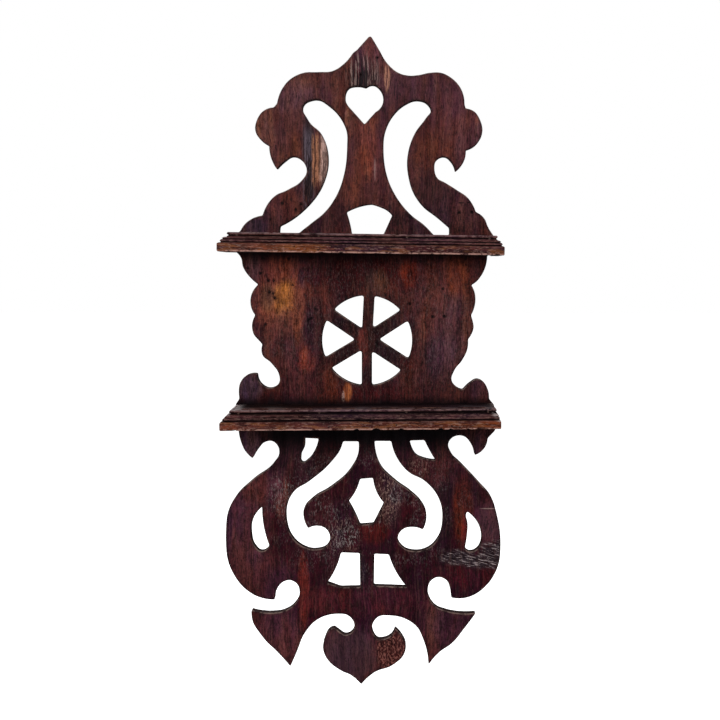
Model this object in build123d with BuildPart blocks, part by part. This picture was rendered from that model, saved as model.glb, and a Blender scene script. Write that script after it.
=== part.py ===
from build123d import *
import math
import os

os.makedirs("parts", exist_ok=True)

# Wooden spoon rack: one tall pierced and scroll-sawn board that hangs on a wall, with two moulded shelves.
# The origin is on the wall face, on the centre line. +Z is up, and the front looks along -Y.
# Outlines are given as (across, up), with up counted from the lowest point of the board.

# Backboard
plank_width = 262.0
board_thickness = 9.0
origin_height = 389.0           # from the lowest point of the board up to the origin
housing_depth = 3.0             # groove in the board's front that takes the rear edge of a shelf

# Wheel: a round opening left with spokes that meet a little above its centre
wheel_centre = (2.8, 328.5)
wheel_radius = 42.0
hub_centre = (2.7, 329.4)
spokes = [(33, 11.9), (87, 10.0), (146, 11.7), (211, 11.5), (270, 9.5), (327, 12.6)]   # degrees, width
wheel_corner = 1.2

# Shelf boards
shelf_thickness = 9.0
shelf_depth = 40.5              # from the backboard's front to the shelf board's front edge
slot_count = 6
slot_pitch = 39.0
slot_width = 24.0
slot_depth = 11.0
slot_corner = 2.0

# Moulding round a shelf, as (out from the shelf's edge, up from the moulding's foot)
moulding_height = 17.6
fillet_out = 10.5
fillet_height = 7.6
ovolo_foot = (8.3, 8.6)
ovolo_radius = 4.8
bead_out = 2.7

# Forged nails from the back into each shelf, and fine pins through the moulding
nail_width = 2.6
nail_length = 36.0
nail_point = 0.8                # width at the point
nail_head = (6.0, 1.2)          # width across the corners, thickness
nail_places = [-78.0, 0.0, 78.0]
pin_width = 1.1
pin_length = 13.0
pin_point = 0.4
pin_head = (1.8, 0.5)
pin_drop = 2.6                  # below the shelf's top
front_pin_places = [-111.5, -39.0, 39.0, 111.5]
return_pin_places = [-8.0, -24.0]

# Each shelf: its top above the board's lowest point, its tilt, and its two ends.
# An end is (where the shelf board stops, how thick its return is beside the front moulding).
shelves = {
    "upper": {"top": 425.8, "tilt": 0.83, "left": (-117.7, 1.0), "right": (116.5, 0.73)},
    "lower": {"top": 269.7, "tilt": -0.6, "left": (-117.4, 1.0), "right": (118.0, 0.43)},
}

# An outline is a closed run of stretches between sharp corners.
# Two points are a straight, three an arc, and more a smooth curve made of arcs.
board_outline = [
    # Finial and the left side of the crest
    [(4.5, 605), (-6.5, 593)],
    [(-6.5, 593), (-10, 590.5)],
    [(-10, 590.5), (-17.5, 581.5), (-28.5, 574.5), (-42, 573.5), (-55, 573), (-67, 567.5), (-76, 556.5),
     (-79.5, 545.5)],
    [(-79.5, 545.5), (-82.5, 542)],
    [(-82.5, 542), (-92, 539), (-98, 531), (-99.5, 520.5), (-95, 513), (-87, 507.5)],
    [(-87, 507.5), (-85.5, 497), (-80, 486)],
    # Left scroll above the upper shelf
    [(-80, 486), (-73.5, 492.5), (-64.5, 497.5), (-56, 493), (-52.5, 484.5), (-58, 475), (-70, 467.5),
     (-82.5, 461.5), (-90, 452.5), (-93.5, 444)],
    [(-93.5, 444), (-103.5, 441), (-111, 435), (-114, 430)],
    [(-114, 430), (-118.5, 426.5)],
    [(-118.5, 426.5), (-119, 411)],
    # Left edge between the shelves
    [(-119, 411), (-114.5, 406.5), (-111.5, 395.5), (-108, 390)],
    [(-108, 390), (-103, 384.5), (-98, 380.5)],
    [(-98, 380.5), (-105.5, 365), (-101, 352)],
    [(-101, 352), (-104, 344.5), (-102, 333)],
    [(-102, 333), (-94.5, 325)],
    [(-94.5, 325), (-95, 316), (-86, 307), (-79.5, 297.5), (-79, 289.5), (-87, 284), (-95.5, 287.5),
     (-99.5, 297.5)],
    [(-99.5, 297.5), (-109.5, 296), (-116, 288), (-117, 281), (-116.5, 274)],
    [(-116.5, 274), (-120.5, 268)],
    [(-120.5, 268), (-117.5, 243)],
    # Left side of the apron
    [(-117.5, 243), (-115, 232), (-111.5, 224.5), (-104.5, 217.5)],
    [(-104.5, 217.5), (-99, 226.5), (-93, 233), (-86, 234), (-80.5, 229), (-79.5, 222.5), (-85, 213),
     (-105.5, 196.5), (-120, 182.5), (-128, 167.5), (-130.5, 149), (-125, 109), (-114, 93.5),
     (-100, 84.5), (-84.5, 82)],
    [(-84.5, 82), (-82.5, 92), (-77, 99), (-71, 101), (-63.5, 97.5), (-61, 88.5), (-66.5, 77),
     (-75.5, 71), (-88, 69), (-107, 71.5)],
    [(-107, 71.5), (-106.5, 63), (-96.5, 45.5), (-80, 28.5), (-70, 17)],
    # Bottom edge: hook, pendant heart, hook
    [(-70, 17), (-64, 31), (-56, 50), (-44, 63), (-27.5, 68.5), (-14, 66.5), (-9, 58.5), (-11.5, 50.5),
     (-17.5, 48), (-23.5, 51.5), (-28, 55)],
    [(-28, 55), (-31, 54), (-37.5, 44), (-39, 36.5), (-37, 28), (-31, 20), (-22, 13.5), (-11.5, 8.5),
     (-2.5, 0)],
    [(-2.5, 0), (9.5, 11.5), (28, 19.5), (38, 29.5), (40, 39), (37, 46.5), (29.5, 55)],
    [(29.5, 55), (26.5, 48.5), (19.5, 44.5), (13, 44.5), (9, 50), (8.5, 59.5), (13.5, 66), (24.5, 67.5),
     (36.5, 65.5), (49.5, 57.5), (57, 43), (61.5, 20)],
    [(61.5, 20), (71.5, 32), (83.5, 41), (97, 58), (106, 70.5)],
    # Right side of the apron
    [(106, 70.5), (86.5, 70.5), (77, 72.5), (68.5, 76), (63, 82.5), (60.5, 93.5), (63, 101), (70.5, 105),
     (78, 102), (81.5, 93.5), (82.5, 85.5)],
    [(82.5, 85.5), (91, 84.5), (102, 87), (114.5, 96), (125.5, 113.5), (128.5, 141.5), (125, 164.5),
     (119, 182.5), (107.5, 196), (91.5, 213), (81.5, 223.5), (79, 233), (85.5, 239.5), (94, 239),
     (99.5, 233), (103.5, 221.5)],
    [(103.5, 221.5), (112, 227.5), (115.5, 237.5)],
    [(115.5, 237.5), (122.5, 245)],
    [(122.5, 245), (121.5, 268.5)],
    # Right edge between the shelves
    [(121.5, 268.5), (116.5, 274.5)],
    [(116.5, 274.5), (114.5, 285), (111, 290.5), (105, 293), (98.5, 289.5), (92, 283)],
    [(92, 283), (85.5, 286), (81.5, 292), (84, 301), (91.5, 311), (96, 321), (96.5, 330)],
    [(96.5, 330), (99.5, 334.5), (101.5, 340.5), (100.5, 347.5), (99, 352)],
    [(99, 352), (102, 359.5), (103, 367), (102, 374), (99, 380)],
    [(99, 380), (103, 382.5), (107, 387)],
    [(107, 387), (111.5, 395.5), (113.5, 407)],
    [(113.5, 407), (119, 410.5)],
    [(119, 410.5), (119, 425.5)],
    # Right scroll above the upper shelf, and the right side of the crest
    [(119, 425.5), (114, 433), (110.5, 441), (102.5, 447)],
    [(102.5, 447), (99.5, 454), (95, 460), (85, 467), (74.5, 473.5), (67, 478), (64.5, 485.5),
     (66, 493.5), (73, 497), (80.5, 491.5), (83.5, 483.5)],
    [(83.5, 483.5), (92, 494.5), (93, 503)],
    [(93, 503), (105, 511), (108, 520.5), (106, 529.5), (100, 538), (92.5, 540.5)],
    [(92.5, 540.5), (91.5, 544)],
    [(91.5, 544), (89, 556.5), (80.5, 567), (69.5, 572.5), (60, 572.5), (50, 570.5), (40.5, 570),
     (30.5, 573), (22.5, 579.5), (15, 591)],
    [(15, 591), (6.5, 605)],
    [(6.5, 605), (4.5, 605)],
]

openings = {
    "heart": [
        [(2, 559.5), (-6.5, 561), (-14, 559), (-17, 551.5), (-14, 542.5)],
        [(-14, 542.5), (0.5, 526.5)],
        [(0.5, 526.5), (10.5, 537.5)],
        [(10.5, 537.5), (16, 542.5), (17.5, 550.5), (14.5, 558), (8, 562), (2, 559.5)],
    ],
    "left crescent": [
        [(-78, 427.5), (-77.5, 434)],
        [(-77.5, 434), (-55.5, 448.5), (-37.5, 472.5), (-32.5, 493.5), (-38, 516.5), (-51, 530.5),
         (-55.5, 543.5), (-45.5, 549), (-29, 541), (-20, 530), (-16, 520.5), (-15.5, 505), (-17.5, 485),
         (-25, 462.5), (-37.5, 445.5), (-47, 438), (-60.5, 427.5)],
        [(-60.5, 427.5), (-78, 427.5)],
    ],
    "right crescent": [
        [(64, 426), (56.5, 434), (42.5, 445), (30.5, 459.5), (22.5, 475.5), (18, 499.5), (20, 522),
         (27, 535), (37, 544), (48, 548), (58, 544.5), (61, 539), (56.5, 532), (46, 517.5), (39.5, 493.5),
         (41, 478.5), (45, 465.5), (53, 453.5), (68.5, 441), (78.5, 432.5)],
        [(78.5, 432.5), (78.5, 426)],
        [(78.5, 426), (64, 426)],
    ],
    "keystone": [
        [(7, 454), (-2, 452.5), (-16, 447)],
        [(-16, 447), (-13, 437), (-11, 426.5)],
        [(-11, 426.5), (18, 426.5)],
        [(18, 426.5), (26, 444)],
        [(26, 444), (22, 448), (15, 451.5), (7, 454)],
    ],
    "left finger slot": [
        [(-42.5, 236.5), (-55.5, 237)],
        [(-55.5, 237), (-55.5, 229.5), (-59, 220), (-58, 214), (-52, 217), (-46, 225.5), (-42.5, 236.5)],
    ],
    "left S slot": [
        [(-19.5, 234), (-21.5, 227.5), (-31.5, 213.5), (-51.5, 196), (-65.5, 186.5), (-72.5, 172.5),
         (-73, 158), (-69, 144.5), (-59.5, 134.5), (-46.5, 130.5), (-34, 135.5), (-32, 143.5),
         (-35.5, 150.5), (-43, 153.5), (-52.5, 151)],
        [(-52.5, 151), (-56.5, 160), (-56.5, 170), (-48, 180), (-32, 190), (-13.5, 206.5), (-5.5, 222),
         (-5, 234)],
        [(-5, 234), (-19.5, 234)],
    ],
    "right S slot": [
        [(10, 234.5), (10.5, 227), (15.5, 211.5), (29, 197.5), (44, 186.5), (53, 178), (58.5, 167.5),
         (58.5, 158.5), (55.5, 150.5)],
        [(55.5, 150.5), (46, 153), (36.5, 150.5), (32, 142.5), (36.5, 133.5), (48, 129.5), (60.5, 132.5),
         (71, 144.5), (74, 160), (73, 172), (67.5, 185.5), (57.5, 196.5), (41, 206), (30.5, 219.5),
         (25.5, 234.5)],
        [(25.5, 234.5), (10, 234.5)],
    ],
    "right finger slot": [
        [(43, 235), (44.5, 229), (48.5, 222), (57, 218), (67, 216.5)],
        [(67, 216.5), (61, 226.5), (56.5, 235.5)],
        [(56.5, 235.5), (43, 235)],
    ],
    "diamond": [
        [(8.5, 199.5), (-3.5, 198.5)],
        [(-3.5, 198.5), (-6.5, 189.5), (-14.5, 177)],
        [(-14.5, 177), (-8, 165), (-3.5, 154.5)],
        [(-3.5, 154.5), (9, 155.5)],
        [(9, 155.5), (19, 175.5)],
        [(19, 175.5), (11, 188.5), (8.5, 199.5)],
    ],
    "left teardrop": [
        [(-96, 171.5), (-101, 166), (-106, 156), (-106.5, 145.5), (-103.5, 134), (-97, 128.5),
         (-91, 131.5), (-89.5, 134.5)],
        [(-89.5, 134.5), (-94, 149.5), (-96, 171.5)],
    ],
    "right teardrop": [
        [(97, 168), (96, 165.5), (97.5, 157), (97, 145.5), (95.5, 135.5)],
        [(95.5, 135.5), (97, 130.5), (101.5, 129.5), (107.5, 133), (110.5, 140), (109.5, 151),
         (104.5, 161), (97, 168)],
    ],
    "left bell": [
        [(-21.5, 128), (-25, 116.5), (-35, 98.5)],
        [(-35, 98.5), (-22, 94)],
        [(-22, 94), (-3.5, 94.5)],
        [(-3.5, 94.5), (-4, 127.5)],
        [(-4, 127.5), (-21.5, 128)],
    ],
    "right bell": [
        [(23.5, 126.5), (10, 127)],
        [(10, 127), (9.5, 96)],
        [(9.5, 96), (41, 95)],
        [(41, 95), (28.5, 113.5), (23.5, 126.5)],
    ],
}

# Worked out from the driving dimensions
board_front = Plane(origin=(0, -board_thickness, -origin_height), x_dir=(1, 0, 0), z_dir=(0, -1, 0))
ovolo_top = (ovolo_foot[0] - ovolo_radius, ovolo_foot[1] + ovolo_radius)
ovolo_diagonal = ovolo_radius * math.sqrt(0.5)
ovolo_middle = (ovolo_top[0] + ovolo_diagonal, ovolo_foot[1] + ovolo_diagonal)


def bend(start, end, way):
    # An arc that leaves start along way and stops at end, or a straight where the two are in line.
    chord = end - start
    if abs((chord * way.conjugate()).imag) < 0.001 * abs(chord):
        return Edge.make_line((start.real, start.imag), (end.real, end.imag))
    return Edge.make_tangent_arc((start.real, start.imag), (way.real, way.imag), (end.real, end.imag))


def smooth_curve(points):
    # Two arcs from each point to the next, and all of them meet in line.
    spots = [complex(*point) for point in points]
    chords = [end - start for start, end in zip(spots, spots[1:])]
    ways = [a / abs(a) * abs(b) + b / abs(b) * abs(a) for a, b in zip(chords, chords[1:])]
    ways = [chords[0] ** 2 / ways[0], *ways, chords[-1] ** 2 / ways[-1]]
    ways = [way / abs(way) for way in ways]
    arcs = []
    for start, end, chord, out, into in zip(spots, spots[1:], chords, ways, ways[1:]):
        turn = 2 - 2 * (out * into.conjugate()).real
        reach = 2 * (chord * (out + into).conjugate()).real
        arm = 2 * abs(chord) ** 2 / (reach + math.sqrt(reach ** 2 + 4 * turn * abs(chord) ** 2))
        joint = (start + end + arm * (out - into)) / 2
        level = chord - arm * (out + into)
        arcs.append(bend(start, joint, out))
        arcs.append(bend(joint, end, level / abs(level)))
    return arcs


def trace(stretches):
    # The edges of a closed outline.
    edges = []
    for points in stretches:
        if len(points) == 2:
            edges.append(Edge.make_line(*points))
        elif len(points) == 3:
            edges.append(Edge.make_three_point_arc(*points))
        else:
            edges.extend(smooth_curve(points))
    return edges


def shelf_frame(shelf):
    # Top of a shelf at the backboard's front face: x runs along the shelf, y to the wall and z up.
    tilt = math.radians(shelf["tilt"])
    top = shelf["top"] - origin_height
    along = (math.cos(tilt), 0, -math.sin(tilt))
    up = (math.sin(tilt), 0, math.cos(tilt))
    return Plane(origin=(0, -board_thickness, top), x_dir=along, z_dir=up)


def moulding_lines(thickness):
    # The moulding's section with its shelf on the left, at a share of the full thickness.
    def at(out, up):
        return (out * thickness, up - moulding_height)

    Polyline(at(bead_out, ovolo_top[1]), at(bead_out, moulding_height), at(0, moulding_height), at(0, 0),
             at(fillet_out, 0), at(fillet_out, fillet_height), at(*ovolo_foot))
    ThreePointArc(at(*ovolo_foot), at(*ovolo_middle), at(*ovolo_top))
    Line(at(*ovolo_top), at(bead_out, ovolo_top[1]))


def mitre(frame, end, thickness, side):
    # Upright plane through a corner of the shelf board, which faces away from the front moulding.
    corner = frame.from_local_coords((end, -shelf_depth, 0))
    facing = frame.x_dir * side + frame.y_dir * thickness
    return Plane(origin=corner, x_dir=frame.z_dir, z_dir=facing)


def fastener(width, length, point, head):
    # A forged nail with its eight-sided head at zero, and a square shank that tapers to its point along +Z.
    with BuildPart() as whole:
        with BuildSketch():
            RegularPolygon(head[0] / 2, 8)
        extrude(amount=head[1])
        with BuildSketch(Plane.XY.offset(head[1])):
            Rectangle(width, width)
        with BuildSketch(Plane.XY.offset(length)):
            Rectangle(point, point)
        loft(ruled=True)
    return whole.part


def aim(frame, place, inward):
    # Where a fastener goes that has its head at a place of a shelf's frame.
    return Plane(origin=frame.from_local_coords(place), x_dir=frame.z_dir, z_dir=inward).location


nail = fastener(nail_width, nail_length, nail_point, nail_head)
pin = fastener(pin_width, pin_length, pin_point, pin_head)

for name, shelf in shelves.items():
    frame = shelf_frame(shelf)
    shelf["frame"] = frame

    nail_spots = []
    for along in nail_places:
        nail_spots.append(aim(frame, (along, board_thickness, -shelf_thickness / 2), -frame.y_dir))
    with BuildPart() as nails:
        with Locations(*nail_spots):
            add(nail)
    nails.part.label = name + "_shelf_nails"
    export_step(nails.part, "parts/" + nails.part.label + ".step")
    shelf["nails"] = nails.part

    pin_spots = []
    for along in front_pin_places:
        pin_spots.append(aim(frame, (along, -shelf_depth - bead_out, -pin_drop), frame.y_dir))
    for side in ("left", "right"):
        end, thickness = shelf[side]
        outward = math.copysign(1, end)
        face = end + outward * bead_out * thickness
        for back in return_pin_places:
            pin_spots.append(aim(frame, (face, back, -pin_drop), frame.x_dir * -outward))
    with BuildPart() as pins:
        with Locations(*pin_spots):
            add(pin)
    pins.part.label = name + "_moulding_pins"
    export_step(pins.part, "parts/" + pins.part.label + ".step")

    with BuildPart() as shelf_board:
        left_end = shelf["left"][0]
        right_end = shelf["right"][0]
        with BuildSketch(frame):
            with Locations(((left_end + right_end) / 2, housing_depth)):
                Rectangle(right_end - left_end, housing_depth + shelf_depth,
                          align=(Align.CENTER, Align.MAX))
            with BuildSketch(mode=Mode.PRIVATE) as slot:
                Rectangle(slot_width, 2 * slot_depth)
                fillet(slot.vertices(), slot_corner)
            with Locations((0, -shelf_depth)):
                with GridLocations(slot_pitch, 0, slot_count, 1):
                    add(slot.sketch, mode=Mode.SUBTRACT)
        extrude(amount=-shelf_thickness)
        add(nails.part, mode=Mode.SUBTRACT)
        add(pins.part, mode=Mode.SUBTRACT)
    shelf_board.part.label = name + "_shelf_board"
    export_step(shelf_board.part, "parts/" + shelf_board.part.label + ".step")

    with BuildPart() as front_moulding:
        section = Plane(origin=frame.from_local_coords((0, -shelf_depth, 0)), x_dir=-frame.y_dir,
                        z_dir=-frame.x_dir)
        with BuildSketch(section):
            with BuildLine():
                moulding_lines(1)
            make_face()
        extrude(amount=right_end - left_end, both=True)
        split(bisect_by=mitre(frame, *shelf["left"], side=-1), keep=Keep.BOTTOM)
        split(bisect_by=mitre(frame, *shelf["right"], side=1), keep=Keep.BOTTOM)
        add(pins.part, mode=Mode.SUBTRACT)
    front_moulding.part.label = name + "_front_moulding"
    export_step(front_moulding.part, "parts/" + front_moulding.part.label + ".step")

    for side in ("left", "right"):
        end, thickness = shelf[side]
        outward = math.copysign(1, end)
        with BuildPart() as return_moulding:
            section = Plane(origin=frame.from_local_coords((end, 0, 0)), x_dir=frame.x_dir * outward,
                            z_dir=frame.y_dir * -outward)
            with BuildSketch(section):
                with BuildLine():
                    moulding_lines(thickness)
                make_face()
            extrude(amount=outward * (shelf_depth + 2 * fillet_out))
            split(bisect_by=mitre(frame, end, thickness, side=outward), keep=Keep.TOP)
            add(pins.part, mode=Mode.SUBTRACT)
        return_moulding.part.label = name + "_" + side + "_return"
        export_step(return_moulding.part, "parts/" + return_moulding.part.label + ".step")

with BuildPart() as backboard:
    with BuildSketch(board_front):
        make_face(trace(board_outline))
        for outline in openings.values():
            make_face(trace(outline), mode=Mode.SUBTRACT)
    extrude(amount=-board_thickness)
    with BuildSketch(board_front) as wheel:
        with Locations(wheel_centre):
            Circle(wheel_radius)
        for angle, width in spokes:
            with Locations(Location(hub_centre, angle)):
                Rectangle(2 * wheel_radius, width, align=(Align.MIN, Align.CENTER), mode=Mode.SUBTRACT)
        fillet(wheel.vertices(), wheel_corner)
    extrude(amount=-board_thickness, mode=Mode.SUBTRACT)
    for shelf in shelves.values():
        with BuildSketch(shelf["frame"]):
            with Locations((0, housing_depth)):
                Rectangle(plank_width, 2 * housing_depth, align=(Align.CENTER, Align.MAX))
        extrude(amount=-shelf_thickness, mode=Mode.SUBTRACT)
        add(shelf["nails"], mode=Mode.SUBTRACT)
backboard.part.label = "backboard"
export_step(backboard.part, "parts/backboard.step")
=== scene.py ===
import math

import bmesh
import bpy
import numpy as np
from mathutils import Matrix, Vector, geometry, kdtree, noise


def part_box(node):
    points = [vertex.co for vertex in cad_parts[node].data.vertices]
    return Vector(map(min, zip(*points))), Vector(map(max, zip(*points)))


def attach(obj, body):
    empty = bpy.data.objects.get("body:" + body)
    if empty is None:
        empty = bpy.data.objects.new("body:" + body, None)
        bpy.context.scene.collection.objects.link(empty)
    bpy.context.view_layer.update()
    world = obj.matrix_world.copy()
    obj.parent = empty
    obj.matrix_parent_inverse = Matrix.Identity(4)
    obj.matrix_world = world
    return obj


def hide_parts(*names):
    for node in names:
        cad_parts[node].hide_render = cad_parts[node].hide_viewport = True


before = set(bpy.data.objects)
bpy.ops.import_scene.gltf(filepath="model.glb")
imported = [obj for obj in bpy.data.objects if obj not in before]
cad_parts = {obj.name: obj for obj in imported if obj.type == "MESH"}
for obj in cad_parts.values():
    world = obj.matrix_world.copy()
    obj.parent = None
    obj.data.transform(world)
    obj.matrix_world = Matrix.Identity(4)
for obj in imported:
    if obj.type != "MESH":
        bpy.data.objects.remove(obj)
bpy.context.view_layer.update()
print("frame loaded")

mm = .001
boardLow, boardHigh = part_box("backboard")
boardFront = boardLow.y                   # the board's front face, its back is on the wall at zero
boardThick = -boardFront
tip = boardLow.z                          # lowest point of the pendant heart, heights are counted from here

# camera

camera = dict(
    across=22.2 * mm,                     # level with the panel between the shelves, a little to the right
    height=393.9 * mm,
    away=1.0,                             # in front of the board
    down=4.764,                           # degrees
    left=1.48,
    lens=54.0,
)

cameraData = bpy.data.cameras.new("camera")
cameraData.lens = camera["lens"]
cameraData.sensor_width = 36
cameraObject = bpy.data.objects.new("camera", cameraData)
cameraObject.location = (camera["across"], boardFront - camera["away"], tip + camera["height"])
cameraObject.rotation_euler = (math.radians(90 - camera["down"]), 0, math.radians(camera["left"]))
bpy.context.scene.collection.objects.link(cameraObject)
bpy.context.scene.camera = cameraObject
bpy.context.scene.view_settings.view_transform = "Standard"

# shader sums


class Wire:
    # one socket, so that sums on values read as sums
    def __init__(self, sheet, socket):
        self.sheet = sheet
        self.socket = socket

    def sum(self, operation, *values, clamp=False):
        return self.sheet.node("Math", {"operation": operation, "use_clamp": clamp}, *values)

    def __add__(self, other):
        return self.sum("ADD", self, other)

    def __radd__(self, other):
        return self.sum("ADD", other, self)

    def __sub__(self, other):
        return self.sum("SUBTRACT", self, other)

    def __rsub__(self, other):
        return self.sum("SUBTRACT", other, self)

    def __mul__(self, other):
        return self.sum("MULTIPLY", self, other)

    def __rmul__(self, other):
        return self.sum("MULTIPLY", other, self)

    def __pow__(self, other):
        return self.sum("POWER", self, other)

    def most(self, other):
        return self.sum("MAXIMUM", self, other)

    def kept(self):
        return self.sum("ADD", self, 0, clamp=True)   # held between 0 and 1


class Sheet:
    # a node tree that is written as a list of steps
    def __init__(self, name, tree=None):
        if tree is None:
            self.material = bpy.data.materials.new(name)
            self.material.use_nodes = True
            tree = self.material.node_tree
        self.tree = tree
        tree.nodes.clear()

    def node(self, kind, settings=None, *values, out=0, **named):
        made = self.tree.nodes.new("ShaderNode" + kind)
        for key, value in (settings or {}).items():
            setattr(made, key, value)
        for key, value in list(enumerate(values)) + list(named.items()):
            socket = made.inputs[key.replace("_", " ") if isinstance(key, str) else key]
            if isinstance(value, Wire):
                self.tree.links.new(value.socket, socket)
            elif value is not None:
                socket.default_value = value
        return Wire(self, made.outputs[out]) if len(made.outputs) else None

    def mix(self, share, first, second):
        return self.node("Mix", {"data_type": "RGBA"}, share, *[None] * 5, first, second, out=2)

    def move(self, operation, *values, out=0):
        return self.node("VectorMath", {"operation": operation}, *values, out=out)

    def scaled(self, value, share):
        return self.node("VectorMath", {"operation": "SCALE"}, value, Scale=share)

    def cloud(self, where, scale, detail=3, rough=.55):
        # smooth noise, stretched to run from about 0 to 1
        made = self.node("TexNoise", None, where, Scale=scale, Detail=detail, Roughness=rough)
        return self.ramp(made, .32, .68)

    def ramp(self, value, low, high):
        # eases from 0 at low to 1 at high
        return self.node("MapRange", {"interpolation_type": "SMOOTHSTEP"}, value, low, high)


def paint(red, green, blue):
    # a colour written as it is seen on screen
    return tuple(((v / 255 + .055) / 1.055) ** 2.4 if v > 10 else v / 255 / 12.92 for v in (red, green, blue)) + (1,)


# stage

stage = dict(
    floorDrop=250 * mm,                   # how far the floor lies under the rack's lowest point
    floorSize=30,
    floorColour=(.86, .86, .86, 1),
    floorGlow=.75,                        # seen by the camera only, brings the lit floor up to white
    ambient=.42,                          # strength of the world on the object
)

world = bpy.data.worlds.new("studio")
bpy.context.scene.world = world
world.use_nodes = True
sky = Sheet("studio", world.node_tree)
seen = sky.node("LightPath", out="Is Camera Ray")
for ray in ("Is Glossy Ray", "Is Transmission Ray"):
    seen = seen.most(sky.node("LightPath", out=ray))
glow = sky.node("Background", None, (1, 1, 1, 1), seen * (1 - stage["ambient"]) + stage["ambient"])
sky.node("OutputWorld", None, glow)

floorSheet = Sheet("floor")
floorLit = floorSheet.node("BsdfDiffuse", None, stage["floorColour"], 0)
floorSeen = floorSheet.node("LightPath", out="Is Camera Ray")
floorGlow = floorSheet.node("Emission", None, (1, 1, 1, 1), floorSeen * stage["floorGlow"])
floorSheet.node("OutputMaterial", None, floorSheet.node("AddShader", None, floorLit, floorGlow))
floorMesh = bpy.data.meshes.new("floor")
floorReach = stage["floorSize"] / 2
floorMesh.from_pydata([(x * floorReach, y * floorReach, tip - stage["floorDrop"])
                       for x, y in ((-1, -1), (1, -1), (1, 1), (-1, 1))], [], [(0, 1, 2, 3)])
floorMesh.materials.append(floorSheet.material)
floor = bpy.data.objects.new("floor", floorMesh)
bpy.context.scene.collection.objects.link(floor)

lamps = dict(
    key=dict(place=(-.12, -1.1, .27), size=.4, power=8),
    fill=dict(place=(1.2, -1.1, .3), size=1.0, power=2.5),
    top=dict(place=(.1, -.9, 1.5), size=1.0, power=5),
    back=dict(place=(-.5, 1.6, .9), size=1.2, power=26),
)

middle = Vector((0, boardFront, (boardLow.z + boardHigh.z) / 2))
for name, lamp in lamps.items():
    data = bpy.data.lights.new(name, "AREA")
    data.shape = "DISK"
    data.size = lamp["size"]
    data.energy = lamp["power"]
    item = bpy.data.objects.new(name, data)
    item.location = lamp["place"]
    item.rotation_euler = (middle - item.location).to_track_quat("-Z", "Y").to_euler()
    bpy.context.scene.collection.objects.link(item)
print("camera, floor and lamps ready")

# carving tools

carving = dict(
    crease=48,                            # degrees, edges sharper than this stay hard
    corner=25,                            # degrees, outline corners sharper than this are kept
    easing=.25,
    waves=((.6, 9 * mm, 3), (.5, 2.5 * mm, 5)),   # wear along an edge: how much, how long, where it starts
    wearRange=(.12 * mm, 2 * mm),
    backWear=.7,                          # of the wear at the front
)


def ripple(points, size, seed):
    spots = np.zeros((len(points), 3))
    spots[:, :np.shape(points)[1]] = points
    spots = spots / np.array(size) + (seed, seed * 1.7, -seed)
    return np.array([noise.noise(Vector(p)) for p in spots])   # smooth, from -1 to 1


def seenFrom(place, node):
    # a node's mesh points in the measures of a place
    into = np.array(place.inverted())
    return np.array([v.co[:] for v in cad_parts[node].data.vertices]) @ into[:3, :3].T + into[:3, 3]


def outlines(node, place):
    # closed edge loops of the flat face that lies at height zero of a place
    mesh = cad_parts[node].data
    spots = seenFrom(place, node)
    flat = np.abs(spots[:, 2]) < .02 * mm
    known = {}
    names = [known.setdefault(tuple(np.round(s / mm * 500).astype(int)), len(known)) for s in spots]
    spotOf = dict(zip(names, spots[:, :2]))
    ways = set()
    for polygon in mesh.polygons:
        corners = list(polygon.vertices)
        if flat[corners].all():
            for a, b in zip(corners, corners[1:] + corners[:1]):
                a, b = names[a], names[b]
                if (b, a) in ways:
                    ways.remove((b, a))
                else:
                    ways.add((a, b))
    onward = dict(sorted(ways))
    loops = []
    while onward:
        here = min(onward)
        loop = []
        while here in onward:
            loop.append(spotOf[here])
            here = onward.pop(here)
        loops.append(np.array(loop))
    return loops


def girth(loop):
    return np.hypot(*(np.roll(loop, -1, 0) - loop).T).sum()


def spaced(loop, gap):
    # even points along a loop, with its sharp corners kept
    step = np.roll(loop, -1, 0) - loop
    heading = np.arctan2(step[:, 1], step[:, 0])
    turn = (heading - np.roll(heading, 1) + math.pi) % math.tau - math.pi
    corners = np.flatnonzero(np.abs(turn) > math.radians(carving["corner"]))
    if not len(corners):
        corners = np.array([0])
    pieces = []
    for a, b in zip(corners, np.roll(corners, -1)):
        count = (b - a - 1) % len(loop) + 1
        piece = loop[(a + np.arange(count + 1)) % len(loop)]
        run = np.concatenate([[0], np.cumsum(np.hypot(*np.diff(piece, axis=0).T))])
        at = np.linspace(0, run[-1], max(1, round(run[-1] / gap)) + 1)[:-1]
        pieces.append(np.column_stack([np.interp(at, run, piece[:, 0]), np.interp(at, run, piece[:, 1])]))
    return np.vstack(pieces)


def inside(points, loops):
    # even-odd test, so the openings count as outside
    a = np.vstack(loops)
    b = np.vstack([np.roll(loop, -1, 0) for loop in loops])
    slope = (b[:, 0] - a[:, 0]) / np.where(a[:, 1] == b[:, 1], 1, b[:, 1] - a[:, 1])
    held = np.zeros(len(points), bool)
    for few in np.array_split(np.arange(len(points)), len(points) // 2000 + 1):
        x, y = points[few, :1], points[few, 1:2]
        crossed = ((a[:, 1] > y) != (b[:, 1] > y)) & (x < a[:, 0] + (y - a[:, 1]) * slope)
        held[few] = crossed.sum(1) % 2 == 1
    return held


def toSegment(points, a, b):
    along = b - a
    share = np.clip(((points - a) * along).sum(1) / np.maximum((along ** 2).sum(1), 1e-16), 0, 1)
    return np.hypot(*(points - a - along * share[:, None]).T)


def honeycomb(low, high, gap):
    rows = np.arange(low[1], high[1], gap * math.sqrt(.75))
    across = np.arange(low[0], high[0], gap)
    return np.vstack([np.column_stack([across + gap / 2 * (k % 2), np.full(len(across), y)])
                      for k, y in enumerate(rows)])


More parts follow.
